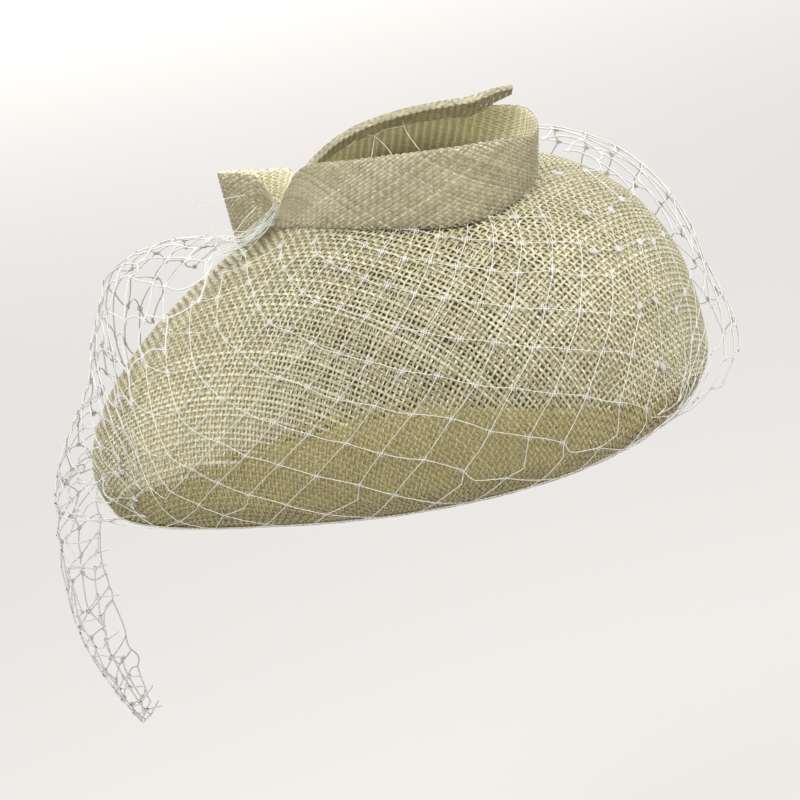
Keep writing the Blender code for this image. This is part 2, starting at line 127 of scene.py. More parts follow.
# Head ribbon, binding and comb.
GAP = 0.0003
BIND_CLOTH = 0.0006
BIND_WALL = 0.0035
BIND_ROOF = 0.0038
RIBBON_INSET = 0.0040
RIBBON_HEIGHT = 0.017
RIBBON_BOTTOM = 0.0052
RIBBON_CLOTH = 0.0007
RIB_PITCH = 0.00075
RIB_RELIEF = 0.00005
SCALLOP = 0.00012
RIBBON_ROWS = (0.0, 0.012, 0.06, 0.3, 0.5, 0.7, 0.94, 0.988, 1.0)
BINDING_FOLDS = (           # inset and height of the binding's folds below the crown
    (0.0, BIND_CLOTH * 0.6), (BIND_WALL * 0.5, BIND_CLOTH * 0.5), (BIND_WALL - 0.0005, BIND_CLOTH * 0.6),
    (BIND_WALL - 0.0003, BIND_ROOF * 0.5), (BIND_WALL - 0.0005, BIND_ROOF),
    (BIND_WALL * 0.5, BIND_ROOF + 0.0002), (0.0, BIND_ROOF + 0.0003),
)
COMB_AXIS = (0.014, 0.0588, 0.0085)
COMB_SPINE = 0.0034
COMB_LOOPS = (-6, -2, 2, 6)
TOOTH_PITCH = 0.0045
STITCH_RADIUS = 0.00035
STITCH_RISE = 0.0034
STITCH_LOOSE = 0.0014

# Veil.
LEFT_LOBE = [
    (47, 82), (60, 84), (74, 82), (84, 76.5), (89.5, 66), (95, 55), (99, 43), (107, 31),
    (115, 19), (120.5, 7),
]
RIGHT_LOBE = [
    (67, 83), (75, 84), (84, 80), (94, 73), (103, 63), (109.5, 49), (112, 35), (117, 19),
    (119.5, 6), (118, -4),
]
HUG_FALL = (0.42, 1.80)
DROP_MIDDLE = [(-121.0, 2, 3), (-124.5, 0, -16), (-124.5, -3, -42), (-118.5, -5, -64), (-112.5, -6, -79)]
DROP_HALF = 0.034
DROP_NARROWS = (0.86, 1.6)
DROP_INWARD = (0.017, 0.75)
DROP_RISE = 0.004
NET_CLEAR = 0.00075
STRAND = 0.00011
NET_FREE = 0.0040          # strands further than this off the crown stand free and look stouter
KNOT_SHARE = 0.8           # a knot's bars against the free strands
KNOT_STEP = 0.42           # spacing, slant, shorter ends and half length of a knot's bars
KNOT_SLANT = 0.25
KNOT_ENDS = 0.75
KNOT_HALF = 0.6
TUBE_SIDES = 5
NET_CREST = 0.0120         # knots this near the net's top are drawn in to the gather
DROP_STRAND = 0.00028
DROP_CELLS = (12, 6)
GATHER = (-0.026, 0.0032, 0.0823)
GATHER_RADIUS = 0.0022
GATHER_RIGHT = -0.030      # front knots left of this are drawn in as well
NECK_STRANDS = 16
NECK_SPREAD = 0.0013
NECK_FLARE = 2.6           # the neck's strands spread this much wider at their tops
NECK_LEVELS = (-0.0012, 0.0068)
PINCH = (-24.3, -2.7, 85.0)
PINCH_SPREAD = (0.0003, 0.0002, 0.0012)
SHOULDER_OF_VEIL = (-31.0, -8.0, 81.0)
ELBOW_OF_VEIL = (-41.5, -5.5, 82.5)
SHOULDER_PULL = 0.75       # how far strands are drawn in to those places
ELBOW_PULL = 0.65
LOOSE_LOOPS = 8
LOOP_SIZE = (0.0015, 0.0032)
LOOP_SCATTER = 0.0015
GATHER_STRANDS = (3, 2)    # strands drawn in from each knot of the left lobe and of the front net
STRAYS = [
    [(-29, 2, 92), (-38, 1, 93), (-44, 3, 92.4), (-50, 4, 91)],
    [(-27, 1, 90), (-33, -3, 87), (-41, -6, 82), (-52, -8, 79)],
    [(13, 1.5, 101.5), (11.5, 0, 98), (9, -4, 93)], [(13, 1.5, 101.5), (15.5, 0, 98), (18, -4, 93)],
    [(13, 1.5, 101.5), (9, 2.2, 102.6), (4, 2, 100)], [(13, 1.5, 101.5), (17, 0.6, 103), (23, -1, 103)],
    [(23, -1.2, 106), (23.4, -2, 101), (26, -5, 95)],
]
GATHER_PITCH = 0.0010
GATHER_PLY = 0.00015
GATHER_TWIST = 0.00028

# View.
VIEW_TARGET = Vector((0.001, 0.0, 0.0071))
VIEW_ELEVATION = math.radians(19.9)
VIEW_ROLL = math.radians(13.8)
VIEW_DISTANCE = 0.975
VIEW_WIDTH = 0.2696       # what the picture's width covers at the target
VIEW_OFFSET = (-0.00135, 0.00337)
FLOOR_LEVEL = -0.32
FLOOR_HALF = 6.0

rng = np.random.default_rng(7)


# ---- geometry helpers

def millimetres(points):
    return np.array(points, float) / 1000


def unit(vectors):
    return vectors / np.linalg.norm(vectors, axis=-1, keepdims=True)


def run_along(line):
    """Distance run at each point of a line."""
    return np.concatenate([[0], np.cumsum(np.linalg.norm(np.diff(line, axis=0), axis=1))])


def smooth_curve(points, count):
    """Catmull-Rom curve through the points, with count samples spread evenly by point number."""
    points = np.asarray(points, float)
    padded = np.vstack([2 * points[0] - points[1], points, 2 * points[-1] - points[-2]])
    where = np.linspace(0, len(points) - 1, count)
    index = np.minimum(where.astype(int), len(points) - 2)
    t = (where - index)[:, None]
    p0, p1, p2, p3 = (padded[index + k] for k in range(4))
    return 0.5 * (
        2 * p1 + (p2 - p0) * t + (2 * p0 - 5 * p1 + 4 * p2 - p3) * t**2 + (3 * p1 - p0 - 3 * p2 + p3) * t**3
    )


def crown(theta, fall, depth=0.0):
    """Crown surface: fall runs 0 at the peak, 1 at the widest level, 2 at the turned edge."""
    theta, fall = np.broadcast_arrays(np.asarray(theta, float), np.asarray(fall, float))
    if np.ndim(depth) or depth:
        step = 1e-3
        low = np.maximum(fall - step, 1e-4)
        down = crown(theta, low + 2 * step) - crown(theta, low)
        round_ = crown(theta + step, np.maximum(fall, 0.02)) - crown(theta - step, np.maximum(fall, 0.02))
        normal = unit(np.cross(down, round_))
        normal[fall < 0.01] = (0, 0, 1)
        return crown(theta, fall) - normal * np.asarray(depth)[..., None]
    cosine, sine = np.cos(theta), np.sin(theta)
    left = 0.5 - 0.5 * cosine
    slope = SLOPE[1] + (SLOPE[0] - SLOPE[1]) * left
    fullness = FULLNESS[1] + (FULLNESS[0] - FULLNESS[1]) * left
    radius = np.sin(np.clip(fall, 0, 1) * math.pi / 2)
    turn = np.clip(fall - 1, 0, 1) * math.pi / 2
    away = np.abs((theta - TURN_LESS[1] + math.pi) % (2 * math.pi) - math.pi) / TURN_LESS[2]
    inset = (TURN_UNDER - TURN_LESS[0] * np.clip(1 - away**2, 0, 1) ** 2) * (1 - np.cos(turn))
    x = PEAK_SHIFT * (1 - radius**1.5) + HALF_LENGTH * radius * cosine
    y = HALF_DEPTH * radius * sine * (1 + EGG * cosine)
    dome = DOME_HEIGHT * (1 - np.minimum(radius**slope, 1)) ** (1 / fullness)
    z = EDGE_HEIGHT + SHOULDER * (1 - np.sin(turn)) + dome
    x = x * (1 - inset / HALF_LENGTH)
    y = y * (1 - inset / HALF_DEPTH)
    return np.stack([x, y, z], axis=-1)


def surface_tree(around=220, rows=90):
    """Search tree of the crown surface, with faces turned outwards."""
    turn = np.linspace(0, 2 * math.pi, around, endpoint=False)
    theta, fall = np.meshgrid(turn, np.linspace(0.001, EDGE, rows))
    points = crown(theta, fall).reshape(-1, 3)
    faces = []
    for r in range(rows - 1):
        for c in range(around):
            d = (c + 1) % around
            faces.append((r * around + c, (r + 1) * around + c, (r + 1) * around + d, r * around + d))
    return BVHTree.FromPolygons([tuple(p) for p in points], faces)


def scene_object(name, data):
    obj = bpy.data.objects.new(name, data)
    bpy.context.scene.collection.objects.link(obj)
    return obj


def mesh_object(name, verts, faces, uv=None, material=None, body="hat", smooth=True):
    """An object from arrays of points and quads, with one UV pair per point, riding on a body."""
    verts = np.asarray(verts, np.float32).reshape(-1, 3)
    faces = np.asarray(faces, np.int32)
    mesh = bpy.data.meshes.new(name)
    mesh.vertices.add(len(verts))
    mesh.vertices.foreach_set("co", verts.ravel())
    mesh.loops.add(faces.size)
    mesh.loops.foreach_set("vertex_index", faces.ravel())
    mesh.polygons.add(len(faces))
    sides = faces.shape[1]
    mesh.polygons.foreach_set("loop_start", np.arange(0, faces.size, sides, dtype=np.int32))
    mesh.polygons.foreach_set("loop_total", np.full(len(faces), sides, np.int32))
    mesh.update(calc_edges=True)
    mesh.validate()
    if uv is not None:
        layer = mesh.uv_layers.new(name="threads")
        layer.data.foreach_set("uv", np.asarray(uv, np.float32)[faces.ravel()].ravel())
    if smooth:
        mesh.shade_smooth()
    if material is not None:
        mesh.materials.append(material)
    obj = scene_object(name, mesh)
    if body:
        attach(obj, body)
    return obj


# ---- materials

def material(name):
    mat = bpy.data.materials.new(name)
    mat.use_nodes = True
    return mat, mat.node_tree, mat.node_tree.nodes["Principled BSDF"]


def node(tree, kind, values=None, **settings):
    """A shader node with input values by name or number; a value that is a socket is linked."""
    made = tree.nodes.new(kind)
    for key, value in settings.items():
        setattr(made, key, value)
    for key, value in (values or {}).items():
        if isinstance(value, bpy.types.NodeSocket):
            tree.links.new(value, made.inputs[key])
        else:
            made.inputs[key].default_value = value
    return made


def ramp(tree, factor, colours):
    made = node(tree, "ShaderNodeValToRGB", {0: factor})
    steps = made.color_ramp.elements
    for place, colour in zip(np.linspace(0, 1, len(colours))[1:-1], colours[1:-1]):
        steps.new(float(place)).color = (*colour, 1)
    steps[0].color = (*colours[0], 1)
    steps[-1].color = (*colours[-1], 1)
    return made.outputs["Color"]


def maths(tree, operation, a, b=0.0, c=0.0):
    return node(tree, "ShaderNodeMath", {0: a, 1: b, 2: c}, operation=operation).outputs[0]


def noise(tree, vector, scale, detail=2.0):
    return node(tree, "ShaderNodeTexNoise", {"Vector": vector, "Scale": scale, "Detail": detail}).outputs[0]


# How much of a straw's tone comes from the straw, its fibres and its place, and the shape of its fibres.
OWN_TONE = 0.34
FIBRE_TONE = 0.72
PATCH_TONE = 0.34
TONE_DOWN = 0.20
PATCH_SCALE = 120.0
FIBRES_ACROSS = 14.0
FIBRE_ALONG = 0.22
STRAW_SHEEN = 0.12
RELIEF = 0.0001           # depth of every bump


def out_of_painted_shade(tree, place):
    """0 at the middle of the painted shade on the crown's front, rising to 1 towards its ends."""
    away = node(tree, "ShaderNodeVectorMath", {0: place, 1: PAINTED_SHADE_CENTRE}, operation="DISTANCE").outputs["Value"]
    return node(tree, "ShaderNodeMapRange", {0: away, 1: PAINTED_SHADE_REACH[0], 2: PAINTED_SHADE_REACH[1]}).outputs[0]


def roughen(tree, bsdf, grain, rough, strength):
    """Roughness and relief of a material from its grain."""
    roughness = node(tree, "ShaderNodeMapRange", {0: grain, 3: rough[0], 4: rough[1]}).outputs[0]
    tree.links.new(roughness, bsdf.inputs["Roughness"])
    relief = node(tree, "ShaderNodeBump", {"Height": grain, "Strength": strength, "Distance": RELIEF})
    tree.links.new(relief.outputs[0], bsdf.inputs["Normal"])


def straw_material(name, colours, through, share, rough=(0.30, 0.50), shade=0.0):
    """Flat straw: a tone for each strand, fibres along it, light let through, and painted shade in the middle
    of the crown's front.
    """
    mat, tree, bsdf = material(name)
    uv = node(tree, "ShaderNodeUVMap", uv_map="threads").outputs[0]
    parts = node(tree, "ShaderNodeSeparateXYZ", {0: uv})
    along, strand = parts.outputs[0], parts.outputs[1]
    own = node(tree, "ShaderNodeTexWhiteNoise", {"W": maths(tree, "FLOOR", strand)}, noise_dimensions="1D")
    lengthwise = maths(tree, "MULTIPLY", along, FIBRE_ALONG)
    crosswise = maths(tree, "MULTIPLY", strand, FIBRES_ACROSS)
    stretched = node(tree, "ShaderNodeCombineXYZ", {0: lengthwise, 1: crosswise})
    fibres = noise(tree, stretched.outputs[0], 1.0, 3.0)
    place = node(tree, "ShaderNodeTexCoord").outputs["Object"]
    patches = noise(tree, place, PATCH_SCALE)
    tone = maths(tree, "MULTIPLY", fibres, FIBRE_TONE)
    tone = maths(tree, "MULTIPLY_ADD", own.outputs["Value"], OWN_TONE, tone)
    tone = maths(tree, "MULTIPLY_ADD", patches, PATCH_TONE, maths(tree, "SUBTRACT", tone, TONE_DOWN))
    # Painted shade: the tone is darker towards the middle of the crown's front.
    if shade:
        darker = maths(tree, "SUBTRACT", tone, shade)
        tone = maths(tree, "MULTIPLY_ADD", out_of_painted_shade(tree, place), shade, darker)
    tree.links.new(ramp(tree, tone, colours), bsdf.inputs["Base Color"])
    roughen(tree, bsdf, fibres, rough, 0.5)
    bsdf.inputs["Sheen Weight"].default_value = STRAW_SHEEN
    bsdf.inputs["Specular IOR Level"].default_value = 0.8
    if share:
        clear = node(tree, "ShaderNodeBsdfTranslucent", {"Color": (*through, 1)})
        mix = node(tree, "ShaderNodeMixShader", {0: share, 1: bsdf.outputs[0], 2: clear.outputs[0]})
        tree.links.new(mix.outputs[0], tree.nodes["Material Output"].inputs[0])
    return mat


def shade_ply_material():
    """Close ply seen through the open cloths: a dark sheet of painted shade in the middle of the crown's
    front, paler towards its ends with painted light let through.
    """
    mat, tree, bsdf = material("lining_ply_painted_shade_and_light")
    place = node(tree, "ShaderNodeTexCoord").outputs["Object"]
    grain = noise(tree, place, 500.0, 3.0)
    tone = maths(tree, "MULTIPLY_ADD", grain, 0.3, maths(tree, "SUBTRACT", out_of_painted_shade(tree, place), 0.15))
    tree.links.new(ramp(tree, tone, CROWN_PLY_SHADE_COLOURS), bsdf.inputs["Base Color"])
    roughen(tree, bsdf, grain, (0.6, 0.9), 0.4)
    return mat


def solid_material(name, colours, scale, rough, bump, metallic=0.0, sheen=0.0):
    """Mottled finish for thread, ribbon, plastic and wire: colour, roughness and relief from noise."""
    mat, tree, bsdf = material(name)
    place = node(tree, "ShaderNodeTexCoord").outputs["Object"]
    grain = noise(tree, place, scale, 4.0)
    broad = noise(tree, place, scale / 12)
    tone = maths(tree, "MULTIPLY_ADD", grain, 0.7, maths(tree, "MULTIPLY", broad, 0.5))
    tree.links.new(ramp(tree, maths(tree, "SUBTRACT", tone, 0.1), colours), bsdf.inputs["Base Color"])
    roughen(tree, bsdf, grain, rough, bump)
    bsdf.inputs["Metallic"].default_value = metallic
    bsdf.inputs["Sheen Weight"].default_value = sheen
    return mat


STRAW_COLOURS = [(0.33, 0.29, 0.165), (0.54, 0.50, 0.325), (0.75, 0.715, 0.525), (0.94, 0.92, 0.77)]
BOW_COLOURS = [(0.16, 0.138, 0.075), (0.32, 0.285, 0.17), (0.56, 0.52, 0.355), (0.93, 0.90, 0.73)]
# Hem colours: darker with painted shade on the lower front.
HEM_SHADE_COLOURS = [(0.28, 0.235, 0.10), (0.41, 0.355, 0.165), (0.565, 0.50, 0.255)]
# Pale inside colours: painted light standing in for light let through the cloth.
PAINTED_LIGHT_COLOURS = [(0.90, 0.84, 0.58), (0.96, 0.92, 0.68), (0.98, 0.96, 0.79)]
# Pale ply in the bow loops: painted light standing in for light let through the doubled cloth.
BOW_PLY_LIT_COLOURS = [(0.62, 0.55, 0.33), (0.74, 0.67, 0.43), (0.85, 0.79, 0.55)]
# Ply tones: dark for the painted shade in the middle, pale for the painted light towards the ends.
CROWN_PLY_SHADE_COLOURS = [(0.075, 0.062, 0.032), (0.19, 0.165, 0.10), (0.54, 0.50, 0.355), (0.86, 0.83, 0.67)]
# Middle and reach of the painted shade on the crown's front; beyond it the ply is paler with painted light.
PAINTED_SHADE_CENTRE = (0.012, -0.060, 0.052)
PAINTED_SHADE_REACH = (0.024, 0.094)
AMBER_LIGHT = (0.96, 0.82, 0.44)
INSIDE_LIGHT = (0.97, 0.90, 0.66)
# The crown's straw carries painted shade in the middle of its front.
straw = straw_material("sinamay_straw", STRAW_COLOURS, AMBER_LIGHT, 0.12, rough=(0.14, 0.32), shade=0.26)
bow_straw = straw_material("sinamay_bow", BOW_COLOURS, AMBER_LIGHT, 0.10, rough=(0.12, 0.30))
hem_shade_straw = straw_material("sinamay_hem_painted_shade", HEM_SHADE_COLOURS, AMBER_LIGHT, 0.10, rough=(0.35, 0.55))
# Painted light on the bow loops' inner faces and on the binding's ply.
painted_light_straw = straw_material("sinamay_inside_painted_light", PAINTED_LIGHT_COLOURS, INSIDE_LIGHT, 0.10)
bow_ply_painted_light = straw_material("bow_ply_painted_light", BOW_PLY_LIT_COLOURS, INSIDE_LIGHT, 0.12)
shade_ply_cloth = shade_ply_material()
net_thread = solid_material(
    "veil_net_thread", [(0.54, 0.54, 0.53), (0.66, 0.66, 0.64), (0.76, 0.76, 0.74)],
    900.0, (0.35, 0.6), 0.3, sheen=0.2,
)
front_thread = solid_material(
    "veil_front_thread", [(0.62, 0.615, 0.56), (0.76, 0.755, 0.70), (0.86, 0.86, 0.81)],
    900.0, (0.3, 0.5), 0.3, sheen=0.2,
)
sewing_thread = solid_material(
    "sewing_thread", [(0.62, 0.56, 0.38), (0.80, 0.74, 0.55), (0.90, 0.86, 0.70)],
    2500.0, (0.5, 0.75), 0.5, sheen=0.3,
)
ribbon_cloth = solid_material(
    "petersham_ribbon", [(0.58, 0.50, 0.33), (0.72, 0.65, 0.46), (0.82, 0.76, 0.58)],
    1600.0, (0.6, 0.85), 0.4, sheen=0.3,
)
comb_plastic = solid_material(
    "comb_plastic", [(0.62, 0.53, 0.34), (0.72, 0.64, 0.45), (0.80, 0.73, 0.55)],
    60.0, (0.16, 0.34), 0.08,
)
wire_steel = solid_material(
    "wire_steel", [(0.50, 0.50, 0.48), (0.62, 0.61, 0.59), (0.70, 0.69, 0.67)],
    700.0, (0.25, 0.45), 0.2, metallic=1.0,
)
floor_paint = solid_material(
    "floor", [(0.655, 0.635, 0.615), (0.665, 0.645, 0.625), (0.675, 0.655, 0.635)],
    12.0, (0.75, 0.9), 0.02,
)


# ---- woven cloth

def crown_chart():
    """Tables that lay flat cloth over the crown from the peak: its radius is the arc length down the dome."""
    theta = np.linspace(0, 2 * math.pi, 361)
    fall = np.linspace(1e-4, EDGE, 600)
    points = crown(theta[:, None], fall[None])
    arc = np.cumsum(np.linalg.norm(np.diff(points, axis=1), axis=2), axis=1)
    arc = np.hstack([np.zeros((len(theta), 1)), arc])
    reach = np.linspace(0, arc.max(), 300)
    falls = np.array([np.interp(reach, row, fall, right=np.nan) for row in arc])
    heading = np.arctan2(HALF_DEPTH * np.sin(theta) * (1 + EGG * np.cos(theta)), HALF_LENGTH * np.cos(theta))
    return theta, np.unwrap(heading), reach, falls


CHART_THETA, CHART_HEADING, CHART_REACH, CHART_FALL = crown_chart()


def crown_place(turn, depth, hem=False):
    """Function that lays flat cloth, (u, v) and a height, on the crown or only its hem; zone 1 is the hem,
    where straws take the hem's painted shade.
    """
    cosine, sine = math.cos(turn), math.sin(turn)

    def place(u, v, height):
        x, y = u * cosine - v * sine, u * sine + v * cosine
        theta = np.interp(np.arctan2(y, x) % (2 * math.pi), CHART_HEADING, CHART_THETA)
        row = theta / (2 * math.pi) * (len(CHART_THETA) - 1)
        i = np.minimum(row.astype(int), len(CHART_THETA) - 2)
        column = np.minimum(np.hypot(x, y) / CHART_REACH[-1], 1) * (len(CHART_REACH) - 1)
        j = np.minimum(column.astype(int), len(CHART_REACH) - 2)
        row, column = row - i, column - j
        near = CHART_FALL[i, j] * (1 - column) + CHART_FALL[i, j + 1] * column
        far = CHART_FALL[i + 1, j] * (1 - column) + CHART_FALL[i + 1, j + 1] * column
        fall = near * (1 - row) + far * row
        point = crown(theta, fall, depth - height)
        # Below this level straws take the hem's painted shade.
        level = HEM_LEVEL[0] + HEM_LEVEL[1] * np.clip(np.cos(theta - HEM_LEVEL[2]), 0, 1) ** 3
        crossing = np.floor(u / OUTER["pitch"]), np.floor(v / OUTER["pitch"])
        level += HEM_FRAY * (np.sin(crossing[0] * HEM_SCATTER[0]) + np.sin(crossing[1] * HEM_SCATTER[1]))
        if hem:
            point[point[..., 2] > level] = np.nan
        return point, (point[..., 2] < level).astype(int)

    return place, CHART_REACH[-1]


def read_along(table, run, a):
    """Rows of a table of points, read at the distances a along their run."""
    return np.stack([np.interp(a, run, table[:, k]) for k in range(3)], axis=-1)


def band_place(low, high, thick, outside):
    """The same for doubled cloth round a band that stands between two lines; zone 1 is the inner face, which
    takes painted light.
    """
    middle = (low + high) / 2
    tall = high - low
    height_of = np.linalg.norm(tall, axis=1)
    run = run_along(middle)
    normal = unit(np.cross(np.gradient(middle, axis=0), tall))
    length, girth = run[-1], 2 * height_of.mean()
    cosine, sine = math.cos(BOW_LEAN), math.sin(BOW_LEAN)

    def place(u, v, height):
        a, b = (u - v) * cosine + length / 2, (u + v) * sine + girth / 2
        beyond = (a < -TRIM) | (a > length + TRIM) | (b < -TRIM) | (b > girth + TRIM)
        a, b = np.clip(a, 0, length), np.clip(b, 0, girth)
        side = np.where(b < girth / 2, 1.0, -1.0)
        up = 1 - np.abs(b / (girth / 2) - 1)
        edge = 2 * up - 1
        flat = np.sqrt(np.clip(1 - edge**8, 0, 1))
        base, rise, out = (read_along(table, run, a) for table in (low, tall, normal))
        along = unit(rise)
        tilt = np.clip(edge**7, -1, 1)
        point = base + rise * up[..., None] + out * (side * flat * thick)[..., None]
        facing = out * (side * np.sqrt(1 - tilt**2))[..., None] + along * tilt[..., None]
        point = point + facing * height[..., None]
        point[beyond] = np.nan
        return point, (side != outside).astype(int)

    return place, length / 4 / cosine + girth / 4 / sine, length, girth / 2


def straws(name, place, reach, cloth, materials, ways=3):
    """Two families of flat straws woven over one and under one, in pieces of at most MOST_FACES."""
    pitch, width, rise = cloth["pitch"], cloth["width"], cloth["rise"]
    count = int(reach / pitch) + 1
    step = np.arange(-4 * count, 4 * count + 1) / 4
    wave = np.clip(1.5 * np.cos(math.pi * step), -1, 1)
    across = np.linspace(-0.5, 0.5, ways)
    pieces = []
    for family, way in enumerate(("warp", "weft")):
        line = np.arange(-count, count)
        wide = width * np.clip(1 + WIDTH_SCATTER * rng.standard_normal(len(line)), *WIDTH_LIMITS)
        shift = LINE_SCATTER * pitch * rng.standard_normal(len(line))
        phase = rng.uniform(0, 2 * math.pi, (2, len(line), 1))
        wander = LINE_SCATTER * pitch * (np.sin(step / 6 + phase[0]) + np.sin(step / 15 + phase[1]))
        middle = ((line + 0.5) * pitch + shift)[:, None, None] + wander[..., None]
        side = middle + wide[:, None, None] * across
        along = np.broadcast_to(((step + 0.5) * pitch)[None, :, None], side.shape)
        over = (1 - 2 * (line % 2)) * (1 - 2 * family)
        arch = STRAW_ARCH * width * (1 - (2 * across) ** 2)
        height = over[:, None, None] * wave[None, :, None] * rise + arch
        points, zone = place(*((side, along) if family == 0 else (along, side)), height)
        uv = np.stack(np.broadcast_arrays(
            step[None, :, None] + 40, (line + count)[:, None, None] + 0.5 + 0.8 * across[None, None, :]
        ), axis=-1)
        sound = np.isfinite(points).all(axis=-1)
        whole = sound[:, :-1, :-1] & sound[:, 1:, :-1] & sound[:, 1:, 1:] & sound[:, :-1, 1:]
        per_line = whole.sum(axis=(1, 2))
        parts = max(1, math.ceil(per_line.sum() / MOST_FACES))
        group = np.minimum((np.cumsum(per_line) - 1) * parts // max(per_line.sum(), 1), parts - 1)
        index = np.arange(sound.size).reshape(sound.shape)
        for part in range(parts):
            mask = whole & (group == part)[:, None, None]
            corners = (index[:, :-1, :-1], index[:, 1:, :-1], index[:, 1:, 1:], index[:, :-1, 1:])
            faces = np.stack([c[mask] for c in corners], axis=-1)
            used, faces = np.unique(faces, return_inverse=True)
            label = f"{name}_{way}" + (f"_{part + 1}" if parts > 1 else "")
            verts, places = points.reshape(-1, 3)[used], uv.reshape(-1, 2)[used]
            piece = mesh_object(label, verts, faces.reshape(-1, 4), places, materials[0])
            # Zone 1 takes the second material: the hem's painted shade on the crown, painted light on a bow
            # loop's inner face.
            if zone is not None:
                piece.data.materials.append(materials[1])
                inner = zone[:, :-1, :-1][mask].astype(np.int32)
                piece.data.polygons.foreach_set("material_index", inner)
            pieces.append(piece)
    return pieces


def cloth_sheet(name, rows, thick, material, closed=False):
    """A smooth closed sheet of even thickness through rows of points, with its edges turned over."""
    rows = np.asarray(rows, float)
    down = np.gradient(rows, axis=0)
    if closed:
        along = (np.roll(rows, -1, axis=1) - np.roll(rows, 1, axis=1)) / 2
    else:
        along = np.gradient(rows, axis=1)
    normal = unit(np.cross(along, down))
    ring = np.concatenate([rows + normal * thick / 2, (rows - normal * thick / 2)[::-1]])
    count, columns = ring.shape[:2]
    last = columns if closed else columns - 1
    r, c = np.meshgrid(np.arange(count), np.arange(last), indexing="ij")
    r2, c2 = (r + 1) % count, (c + 1) % columns
    corners = [r * columns + c, r * columns + c2, r2 * columns + c2, r2 * columns + c]
    faces = np.stack(corners, axis=-1).reshape(-1, 4)
    if not closed:
        ends = []
        for column in (0, columns - 1):
            for row in range(count // 2 - 1):
                quad = [row, row + 1, count - 2 - row, count - 1 - row]
                ends.append([q * columns + column for q in (quad if column else quad[::-1])])
        faces = np.vstack([faces, ends])
    distance = np.arange(columns)[None, :] + np.zeros((count, 1))
    uv = np.stack([distance * 0.8, np.arange(count)[:, None] + np.zeros((1, columns))], axis=-1)
    piece = mesh_object(name, ring.reshape(-1, 3), faces, uv.reshape(-1, 2), material)
    return piece


def make_crown():
    """Two open cloths, the hem between them, a close ply darkened with painted shade and the lining cloth."""
    layers = (
        ("crown_straw", "crown_outer", 0.0, OUTER_DEPTH, False, OUTER, straw, 3),
        ("hem_shade_straw", "hem_band", HEM_TURN, HEM_DEPTH, True, HEM, hem_shade_straw, 2),
        ("second_straw", None, LINING_TURN, SECOND_DEPTH, False, SECOND, straw, 2),
        ("lining_straw", "crown_lining", 0.0, LINING_DEPTH, False, LINING, straw, 2),
    )
    for name, node_name, turn, depth, hem, cloth, mat, ways in layers:
        place, reach = crown_place(CLOTH_HEADING + turn, depth, hem)
        pieces = straws(name, place, reach, cloth, [mat, hem_shade_straw], ways)
        if node_name:
            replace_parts(pieces[0], node_name)
    # The close ply is a dark sheet of painted shade seen through the gaps, paler towards the crown's ends
    # with painted light.
    around = np.linspace(0, 2 * math.pi, 160, endpoint=False)
    theta, fall = np.meshgrid(around, np.linspace(0.004, 1.97, 110))
    rows = crown(theta, fall, np.full(theta.shape, PLY_DEPTH))
    cloth_sheet("crown_shade_ply", rows, CROWN_PLY, shade_ply_cloth, closed=True)


def edge_ring(theta, inset, height):
    """Ring that follows the turned edge, inset from it, at a height."""
    edge = crown(theta, np.full_like(theta, EDGE))
    flat = edge[:, :2]
    tangent = crown(theta + 1e-3, np.full_like(theta, EDGE))[:, :2] - flat
    outward = unit(np.stack([tangent[:, 1], -tangent[:, 0]], axis=1))
    ring = flat - outward * inset
    return np.column_stack([ring, np.full(len(ring), height)])


# ---- bow

def band_lines(bottom, top, samples, tree):
    """Bottom and top line of a band, the bottom kept clear of the crown."""
    low = smooth_curve(millimetres(bottom), samples)
    high = smooth_curve(millimetres(top), samples)
    for point in low:
        hit = tree.ray_cast(Vector((point[0], point[1], 0.3)), Vector((0, 0, -1)))[0]
        if hit is not None:
            point[2] = max(point[2], hit.z + ABOVE_CROWN)
    return low, high


def make_band(name, low, high, outside):
    """One loop of the bow: doubled bias cloth round a plain ply."""
    place, reach, length, height = band_place(low, high, CLOTH / 2, outside)
    pieces = straws(name + "_straw", place, reach, BOW, [bow_straw, painted_light_straw])
    rows = [low + (high - low) * share for share in (0.03, 0.2, 0.4, 0.6, 0.8, 0.97)]
    # The bow's ply is pale with painted light, standing in for light let through the doubled cloth.
    ply = cloth_sheet(name + "_ply", rows, BOW_PLY, bow_ply_painted_light)
    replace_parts(pieces[0], name)


